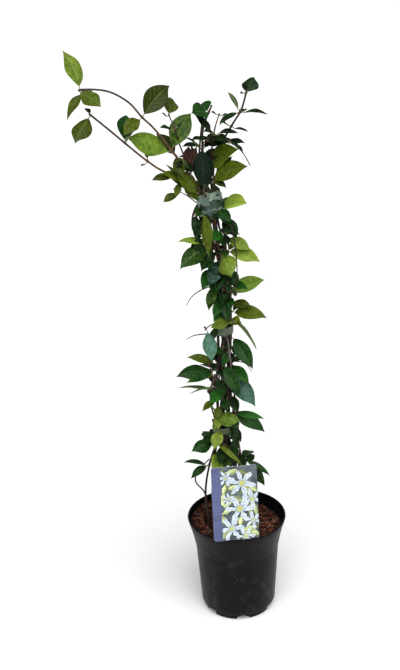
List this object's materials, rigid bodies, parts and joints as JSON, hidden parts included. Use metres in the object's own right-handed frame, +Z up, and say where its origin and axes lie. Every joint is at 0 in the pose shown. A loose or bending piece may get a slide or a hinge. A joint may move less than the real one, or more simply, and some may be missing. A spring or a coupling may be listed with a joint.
{
  "type": "potted star jasmine",
  "caption": "Star jasmine climber trained up a cane in a round nursery pot, with tape ties, twining stems, opposite evergreen leaves and a blank-text picture card.",
  "frame": {"origin": "centre of the pot's base, on the surface that the pot stands on", "axes": "+Z up along the pot's axis, -Y towards the front with the label, +X to the right as seen from the front"},
  "size_m": [0.3212, 0.1724, 0.9918],
  "materials": {
    "pot_plastic": "matt black moulded plastic",
    "soil": "moist coir and bark fibres",
    "cane_bark": "dull brown bark",
    "stem_bark": "brown bark with pale pores",
    "tie_tape": "translucent grey-green stretch tape",
    "label_card": "glossy printed card",
    "leaf_young": "satin, light yellow-green",
    "leaf_mature": "satin, mid green",
    "leaf_dark": "glossy, deep green",
    "leaf_olive": "satin, olive green"
  },
  "bodies": {
    "root": {"pot": "pot_plastic", "soil": "soil", "cane": "cane_bark", "stem_front": "stem_bark", "stem_left": "stem_bark", "stem_back_left": "stem_bark", "stem_back": "stem_bark", "stem_back_right": "stem_bark", "stem_right": "stem_bark", "stem_front_right": "stem_bark", "tie_lower": "tie_tape", "tie_middle": "tie_tape", "tie_upper": "tie_tape", "label": "label_card", "leaves_right_01": "leaf_dark", "leaves_left_01": "leaf_dark", "leaves_front_01": "leaf_mature", "leaves_front_02": "leaf_young", "leaves_left_02": "leaf_dark", "leaves_back_01": "leaf_mature", "leaves_front_right_01": "leaf_dark", "leaves_right_02": "leaf_dark", "leaves_front_03": "leaf_young", "leaves_back_02": "leaf_dark", "leaves_back_left_01": "leaf_dark", "leaves_front_04": "leaf_dark", "leaves_front_right_02": "leaf_dark", "leaves_left_03": "leaf_dark", "leaves_right_03": "leaf_dark", "leaves_back_left_02": "leaf_olive", "leaves_front_05": "leaf_dark", "leaves_right_04": "leaf_dark", "leaves_left_04": "leaf_dark", "leaves_front_right_03": "leaf_olive", "leaves_right_05": "leaf_olive", "leaves_back_right_01": "leaf_olive", "leaves_back_right_02": "leaf_mature", "leaves_front_06": "leaf_dark", "leaves_back_03": "leaf_mature", "leaves_front_07": "leaf_mature", "leaves_right_06": "leaf_young", "leaves_left_05": "leaf_dark", "leaves_front_right_04": "leaf_dark", "leaves_back_left_03": "leaf_dark", "leaves_front_08": "leaf_olive", "leaves_right_07": "leaf_young", "leaves_front_09": "leaf_dark", "leaves_front_right_05": "leaf_olive", "leaves_back_right_03": "leaf_mature", "leaves_back_left_04": "leaf_young", "leaves_back_left_05": "leaf_olive", "leaves_back_left_06": "leaf_olive", "leaves_back_left_07": "leaf_mature", "leaves_left_06": "leaf_mature", "leaves_left_07": "leaf_olive", "leaves_right_08": "leaf_dark", "leaves_right_09": "leaf_dark", "leaves_right_10": "leaf_dark", "leaves_back_right_04": "leaf_dark", "leaves_front_right_06": "leaf_dark"}
  },
  "joints": []
}
